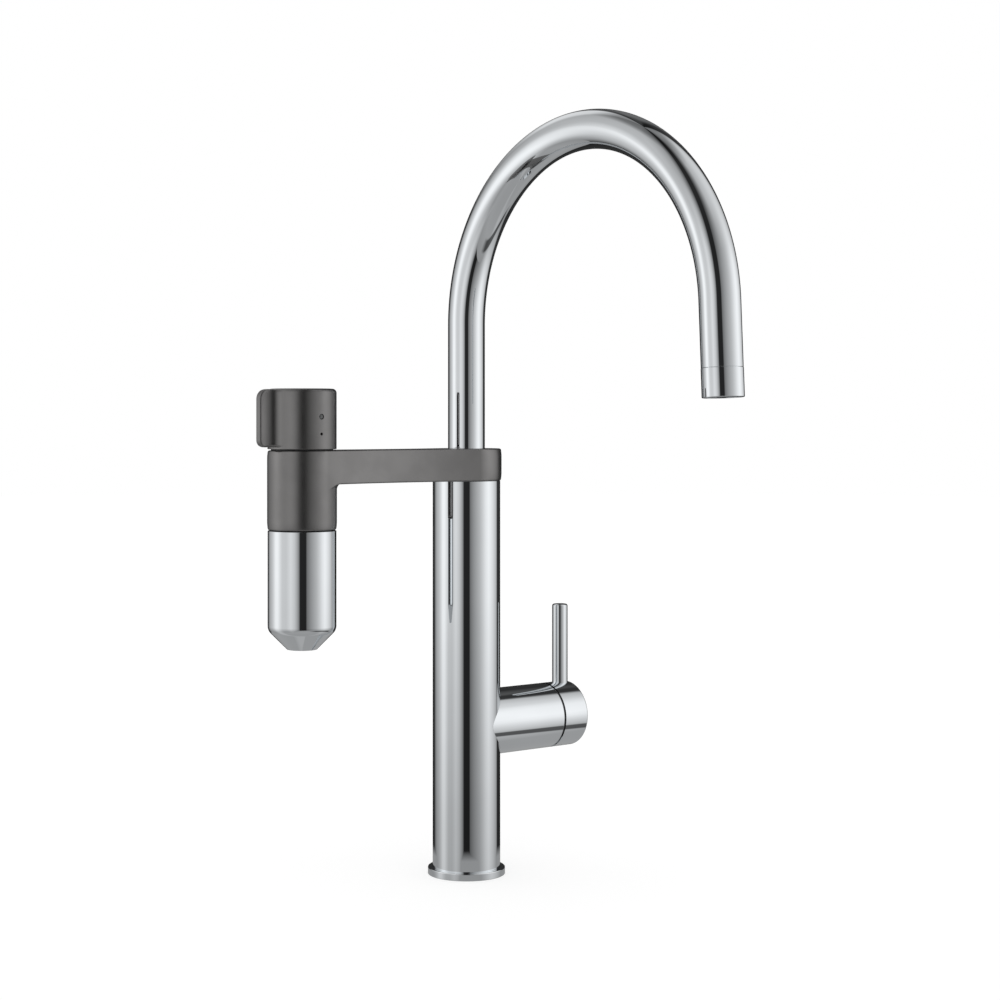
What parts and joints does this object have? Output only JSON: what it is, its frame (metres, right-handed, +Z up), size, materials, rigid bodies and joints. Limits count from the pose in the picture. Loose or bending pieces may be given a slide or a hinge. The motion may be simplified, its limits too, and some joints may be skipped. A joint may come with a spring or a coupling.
{
  "type": "kitchen mixer tap with water filter",
  "caption": "Kitchen mixer tap: column with a tall arched swivel spout, a pin-lever mixing valve on one side, and a side arm with a filter capsule and its own knob",
  "frame": {"origin": "on the column's axis at the underside of the base ring, at deck level", "axes": "+Z up along the column; the spout points to -Y at rest, the filter arm to -X and the mixing valve to +X"},
  "size_m": [0.2257, 0.2441, 0.4391],
  "materials": {
    "chrome_plate": "polished plating",
    "satin_gunmetal": "satin metallic coating",
    "brass": "machined",
    "copper_tube": "drawn",
    "steel": "machined",
    "rubber_black": "matt moulded",
    "plastic_black": "matt moulded",
    "plastic_white": "smooth moulded",
    "plastic_orange": "smooth moulded",
    "ceramic": "lapped",
    "filter_carbon": "porous block",
    "filter_fibre": "fibre bundle",
    "board_green": "lacquered board",
    "lamp_glass": "clear window"
  },
  "bodies": {
    "tap_body": {"base_ring": "chrome_plate", "base_gasket": "rubber_black", "base_manifold": "brass", "column_tube": "chrome_plate", "hot_feed_tube": "copper_tube", "cold_feed_tube": "copper_tube", "filter_feed_tube": "copper_tube", "mixed_water_tube": "copper_tube", "top_bush": "brass", "filter_arm": "satin_gunmetal", "headwork_body": "brass", "headwork_fixed_disc": "ceramic", "spout_glide_ring": "plastic_black", "spout_retaining_screw": "steel", "valve_housing": "chrome_plate", "cartridge_body": "plastic_white", "base_seal_hot": "rubber_black", "base_seal_cold": "rubber_black", "base_seal_mixed": "rubber_black", "cartridge_fixed_disc": "ceramic", "retaining_nut": "brass", "dome_cover": "chrome_plate", "handle_glide_ring": "plastic_black"},
    "mixer_carrier": {"cartridge_carrier": "plastic_orange", "stem_pin": "steel"},
    "flow_disc": {"control_disc": "ceramic", "disc_driver": "plastic_orange"},
    "mixer_lever": {"lever_stem": "steel", "handle_cap": "chrome_plate", "pin_lever": "chrome_plate", "handle_grub_screw": "steel", "screw_plug": "plastic_black"},
    "spout": {"spout_tube": "chrome_plate", "spout_nipple": "brass", "spout_seal_lower": "rubber_black", "spout_seal_middle": "rubber_black", "spout_seal_upper": "rubber_black", "aerator_sleeve": "chrome_plate", "aerator_insert": "plastic_black", "aerator_washer": "rubber_black"},
    "filter_knob": {"knob_shell": "satin_gunmetal", "knob_carrier": "plastic_black", "knob_base_ring": "plastic_black", "knob_screw": "steel", "headwork_spindle": "brass", "headwork_turning_disc": "ceramic", "counter_board": "board_green", "coin_cell": "steel", "status_led": "plastic_white", "led_lens": "lamp_glass", "reset_switch": "plastic_black"},
    "reset_key": {"reset_button": "steel"},
    "filter_capsule": {"capsule_shell": "plastic_white", "capsule_end_cap": "plastic_white", "carbon_block": "filter_carbon", "membrane_bundle": "filter_fibre", "capsule_seal_upper": "rubber_black", "capsule_seal_lower": "rubber_black"},
    "cup_slide": {"cup_seal": "rubber_black"},
    "cup": {"capsule_cup": "chrome_plate"}
  },
  "joints": [
    {"name": "spout_swivel", "type": "hinge", "parent": "tap_body", "child": "spout", "pos_m": [0, 0, 0.2512], "axis": [0, 0, 1], "continuous": true},
    {"name": "temperature_turn", "type": "hinge", "parent": "tap_body", "child": "mixer_carrier", "pos_m": [0.053, 0, 0.088], "axis": [1, 0, 0], "range_deg": [-45, 45]},
    {"name": "flow_tilt", "type": "hinge", "parent": "mixer_carrier", "child": "mixer_lever", "pos_m": [0.053, 0, 0.088], "axis": [0, 1, 0], "range_deg": [0, 20]},
    {"name": "disc_slide", "type": "slide", "parent": "mixer_carrier", "child": "flow_disc", "axis": [0, 0, 1], "range_m": [0, 0.0048]},
    {"name": "filter_turn", "type": "hinge", "parent": "tap_body", "child": "filter_knob", "pos_m": [-0.117, 0, 0.2512], "axis": [0, 0, 1], "range_deg": [0, 90]},
    {"name": "reset_press", "type": "slide", "parent": "filter_knob", "child": "reset_key", "axis": [0, 1, 0], "range_m": [0, 0.0004], "stiffness_N_per_m": 400, "springref_m": -0.0004},
    {"name": "capsule_withdraw", "type": "slide", "parent": "tap_body", "child": "filter_capsule", "axis": [0, 0, -1], "range_m": [0, 0.075]},
    {"name": "cup_drop", "type": "slide", "parent": "filter_capsule", "child": "cup_slide", "axis": [0, 0, -1], "range_m": [0, 0.006]},
    {"name": "cup_unscrew", "type": "hinge", "parent": "cup_slide", "child": "cup", "pos_m": [-0.117, 0, 0.207], "axis": [0, 0, -1], "range_deg": [0, 720]}
  ],
  "couplings": [
    {"joint": "disc_slide", "follows": "flow_tilt", "m_per_rad": 0.0137},
    {"joint": "cup_drop", "follows": "cup_unscrew", "m_per_rad": 0.00047746}
  ]
}
